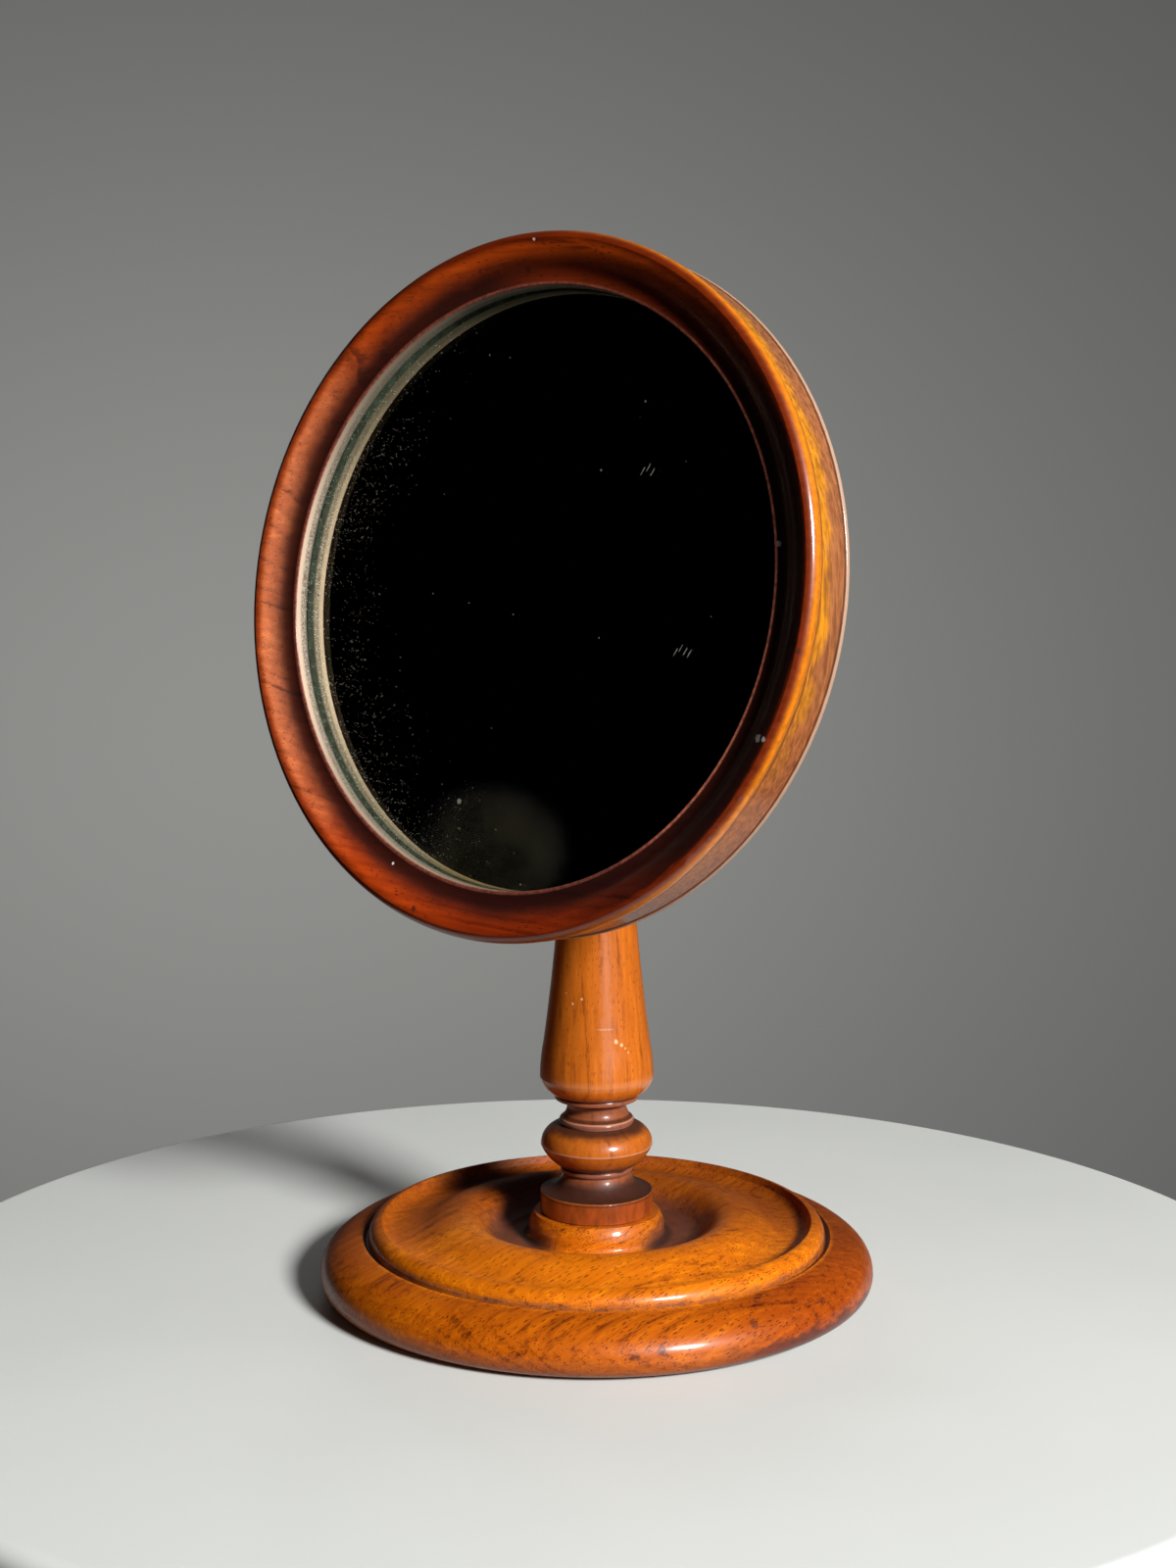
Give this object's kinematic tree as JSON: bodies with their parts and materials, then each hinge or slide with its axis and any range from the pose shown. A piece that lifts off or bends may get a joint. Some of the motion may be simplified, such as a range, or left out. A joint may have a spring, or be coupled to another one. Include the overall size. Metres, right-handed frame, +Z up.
{
  "type": "vanity mirror",
  "caption": "Round tilting vanity mirror in a turned wooden frame, held by a brass knuckle on a baluster column that stands on a dished round base.",
  "frame": {"origin": "middle of the underside of the baize, on the column's axis, where the mirror stands on the table", "axes": "+Z up along the column, -Y the way that the glass faces, +X to the right of someone looking at the glass"},
  "size_m": [0.232, 0.1944, 0.3618],
  "materials": {
    "base_wood": "french polished, worn",
    "column_wood": "french polished, worn",
    "frame_wood": "french polished, worn",
    "board_wood": "waxed",
    "baize": "felted",
    "steel": "dull",
    "brass": "aged",
    "glass": "polished",
    "silvering": "foxed with age",
    "packing": "matte",
    "leather": "waxed"
  },
  "bodies": {
    "stand": {"base": "base_wood", "baize_pad": "baize", "column": "column_wood", "column_screw": "steel", "plate_washer": "steel", "ferrule": "brass", "pivot_eye": "brass"},
    "head": {"frame_ring": "frame_wood", "mirror_glass": "glass", "silvered_coat": "silvering", "packing_sheet": "packing", "back_board": "board_wood", "back_board_screws": "brass", "pivot_bracket": "brass", "bracket_screws": "brass", "pivot_bolt": "brass", "leather_washers": "leather", "nut_washer": "brass"},
    "nut": {"thumb_nut": "brass"}
  },
  "joints": [
    {"name": "mirror_tilt", "type": "hinge", "parent": "stand", "child": "head", "pos_m": [0, 0, 0.24], "axis": [-1, 0, 0], "range_deg": [-14, 81]},
    {"name": "thumb_nut_turn", "type": "hinge", "parent": "head", "child": "nut", "pos_m": [0, 0, 0.24], "axis": [1, 0, 0], "continuous": true}
  ]
}
